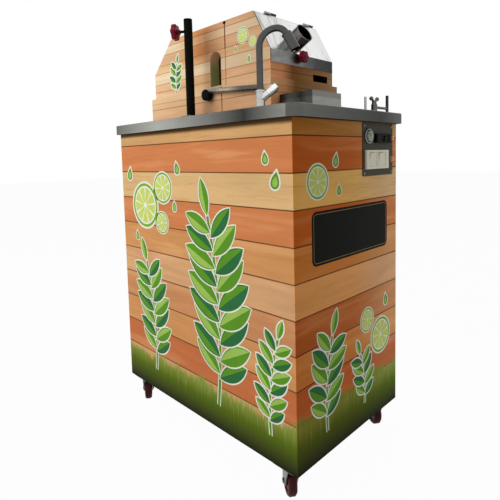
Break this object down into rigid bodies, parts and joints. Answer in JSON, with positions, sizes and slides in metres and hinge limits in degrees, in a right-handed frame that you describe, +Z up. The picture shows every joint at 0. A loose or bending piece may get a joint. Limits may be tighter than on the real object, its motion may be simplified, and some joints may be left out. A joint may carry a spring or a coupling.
{
  "type": "sugarcane_juicer",
  "caption": "Sugarcane juicer on casters: wood-print cabinet, steel worktop, hooded roller crusher with feed pipe, swan-neck spout and tray",
  "frame": {"origin": "on the floor under the middle of the worktop", "axes": "+Z up; +X towards the operator's end with the feed pipe and switches; -Y the wide printed front"},
  "size_m": [0.8, 0.506, 1.266],
  "materials": {
    "cabinet_print": "printed film, satin",
    "casing_print": "printed film, satin",
    "frame_paint": "satin",
    "stainless": "brushed",
    "polished": "mirror polished",
    "bright": "polished",
    "post_paint": "satin",
    "zinc": "zinc plated",
    "wheel": "moulded",
    "knob": "moulded",
    "control_black": "matte",
    "button": "gloss",
    "switch_white": "gloss",
    "lamp": "tinted lens",
    "crusher_paint": "painted",
    "bronze": "machined",
    "roller_steel": "machined",
    "iron": "as cast",
    "belt": "matte"
  },
  "bodies": {
    "cabinet": {"base_frame": "frame_paint", "front_panel": "cabinet_print", "operator_end_panel": "cabinet_print", "rear_end_panel": "cabinet_print", "worktop": "stainless", "cable_gland": "control_black", "caster_plates": "zinc", "control_plate": "control_black", "breaker_body": "control_black", "switch_plate": "switch_white", "indicator_lamps": "lamp", "panel_screws": "zinc", "casing_plinth": "casing_print", "near_side_panel": "casing_print", "far_side_panel": "casing_print", "casing_cover": "stainless", "casing_front_panel": "casing_print", "crusher_frame": "crusher_paint", "roller_bushes": "bronze", "drive_belt": "belt", "gearmotor": "crusher_paint", "juice_pan": "stainless", "juice_tank": "stainless", "juice_pump": "crusher_paint", "juice_pipes": "stainless", "bagasse_chute": "stainless", "tap_body": "bright", "drip_tray": "stainless", "drip_grille": "stainless", "post": "post_paint", "rinse_tap_body": "bright"},
    "fork_near_right": {"caster_fork_near_right": "zinc"},
    "wheel_near_right": {"caster_wheel_near_right": "wheel"},
    "fork_near_left": {"caster_fork_near_left": "zinc"},
    "wheel_near_left": {"caster_wheel_near_left": "wheel"},
    "fork_far_right": {"caster_fork_far_right": "zinc"},
    "wheel_far_right": {"caster_wheel_far_right": "wheel"},
    "fork_far_left": {"caster_fork_far_left": "zinc"},
    "wheel_far_left": {"caster_wheel_far_left": "wheel"},
    "door": {"service_door": "cabinet_print"},
    "latch": {"door_latch": "zinc"},
    "feed_hood": {"hood": "polished"},
    "hood_clamp": {"hood_knob": "knob"},
    "start_button": {"push_button": "button"},
    "breaker_lever": {"breaker_toggle": "control_black"},
    "left_rocker": {"rocker_left": "switch_white"},
    "right_rocker": {"rocker_right": "switch_white"},
    "top_crusher": {"top_roller": "roller_steel", "top_gear": "roller_steel", "flywheel": "iron"},
    "feed_crusher": {"feed_roller": "roller_steel", "feed_gear": "roller_steel"},
    "exit_crusher": {"exit_roller": "roller_steel", "exit_gear": "roller_steel"},
    "drive_shaft": {"drive_pulley": "iron"},
    "tap_grip": {"tap_handle": "bright"},
    "swan_neck": {"spout": "bright"},
    "post_clamp": {"post_knob": "knob"},
    "lever": {"hand_lever": "zinc"},
    "rinse_grip": {"rinse_tap_handle": "bright"}
  },
  "joints": [
    {"name": "swivel_near_right", "type": "hinge", "parent": "cabinet", "child": "fork_near_right", "pos_m": [0.335, -0.2095, 0.09], "axis": [0, 0, 1], "continuous": true},
    {"name": "roll_near_right", "type": "hinge", "parent": "fork_near_right", "child": "wheel_near_right", "pos_m": [0.32353, -0.20147, 0.0375], "axis": [0.5736, 0.8192, 0], "continuous": true},
    {"name": "swivel_near_left", "type": "hinge", "parent": "cabinet", "child": "fork_near_left", "pos_m": [-0.335, -0.2095, 0.09], "axis": [0, 0, 1], "continuous": true},
    {"name": "roll_near_left", "type": "hinge", "parent": "fork_near_left", "child": "wheel_near_left", "pos_m": [-0.34647, -0.20147, 0.0375], "axis": [0.5736, 0.8192, 0], "continuous": true},
    {"name": "swivel_far_right", "type": "hinge", "parent": "cabinet", "child": "fork_far_right", "pos_m": [0.335, 0.2095, 0.09], "axis": [0, 0, 1], "continuous": true},
    {"name": "roll_far_right", "type": "hinge", "parent": "fork_far_right", "child": "wheel_far_right", "pos_m": [0.32353, 0.21753, 0.0375], "axis": [0.5736, 0.8192, 0], "continuous": true},
    {"name": "swivel_far_left", "type": "hinge", "parent": "cabinet", "child": "fork_far_left", "pos_m": [-0.335, 0.2095, 0.09], "axis": [0, 0, 1], "continuous": true},
    {"name": "roll_far_left", "type": "hinge", "parent": "fork_far_left", "child": "wheel_far_left", "pos_m": [-0.34647, 0.21753, 0.0375], "axis": [0.5736, 0.8192, 0], "continuous": true},
    {"name": "door_swing", "type": "hinge", "parent": "cabinet", "child": "door", "pos_m": [-0.3785, 0.2478, 0.524], "axis": [0, 0, 1], "range_deg": [0, 110]},
    {"name": "latch_turn", "type": "hinge", "parent": "door", "child": "latch", "pos_m": [0.3385, 0.243, 0.56], "axis": [0, -1, 0], "range_deg": [0, 90]},
    {"name": "hood_swing", "type": "hinge", "parent": "cabinet", "child": "feed_hood", "pos_m": [0.1721, 0, 1.2595], "axis": [0, -1, 0], "range_deg": [0, 75]},
    {"name": "hood_clamp_turn", "type": "hinge", "parent": "feed_hood", "child": "hood_clamp", "pos_m": [0.245, -0.017, 1.138], "axis": [1, 0, 0], "continuous": true},
    {"name": "button_press", "type": "slide", "parent": "cabinet", "child": "start_button", "axis": [-1, 0, 0], "range_m": [0, 0.003], "stiffness_N_per_m": 400},
    {"name": "breaker_throw", "type": "hinge", "parent": "cabinet", "child": "breaker_lever", "pos_m": [0.391, 0.1545, 0.9075], "axis": [0, -1, 0], "range_deg": [0, 50]},
    {"name": "left_rock", "type": "hinge", "parent": "cabinet", "child": "left_rocker", "pos_m": [0.39, 0.092, 0.8485], "axis": [0, -1, 0], "range_deg": [0, 12]},
    {"name": "right_rock", "type": "hinge", "parent": "cabinet", "child": "right_rocker", "pos_m": [0.39, 0.14, 0.8485], "axis": [0, -1, 0], "range_deg": [0, 12]},
    {"name": "top_turn", "type": "hinge", "parent": "cabinet", "child": "top_crusher", "pos_m": [0.045, -0.03, 1.129], "axis": [0, 1, 0], "continuous": true},
    {"name": "feed_turn", "type": "hinge", "parent": "cabinet", "child": "feed_crusher", "pos_m": [0.08732, -0.03, 1.07075], "axis": [0, 1, 0], "continuous": true},
    {"name": "exit_turn", "type": "hinge", "parent": "cabinet", "child": "exit_crusher", "pos_m": [0.00268, -0.03, 1.07075], "axis": [0, 1, 0], "continuous": true},
    {"name": "drive_turn", "type": "hinge", "parent": "cabinet", "child": "drive_shaft", "pos_m": [0.045, 0.072, 0.65], "axis": [0, 1, 0], "continuous": true},
    {"name": "tap_turn", "type": "hinge", "parent": "cabinet", "child": "tap_grip", "pos_m": [0.248, -0.2, 1.007], "axis": [0.5572, 0.5572, 0.6157], "range_deg": [0, 90]},
    {"name": "spout_swing", "type": "hinge", "parent": "cabinet", "child": "swan_neck", "pos_m": [0.248, -0.2, 1.1], "axis": [0, 0, 1], "range_deg": [-60, 15]},
    {"name": "post_clamp_turn", "type": "hinge", "parent": "cabinet", "child": "post_clamp", "pos_m": [-0.06592, -0.2262, 1.233], "axis": [-0.848, -0.5299, 0], "continuous": true},
    {"name": "lever_lift", "type": "hinge", "parent": "cabinet", "child": "lever", "pos_m": [-0.006, -0.16, 1.05], "axis": [0, -1, 0], "range_deg": [0, 50]},
    {"name": "rinse_turn", "type": "hinge", "parent": "cabinet", "child": "rinse_grip", "pos_m": [0.36, 0.16, 1.011], "axis": [0, 0, 1], "range_deg": [0, 90]}
  ],
  "couplings": [
    {"joint": "feed_turn", "follows": "top_turn", "ratio": -1},
    {"joint": "exit_turn", "follows": "top_turn", "ratio": -1},
    {"joint": "drive_turn", "follows": "top_turn", "ratio": 3}
  ]
}
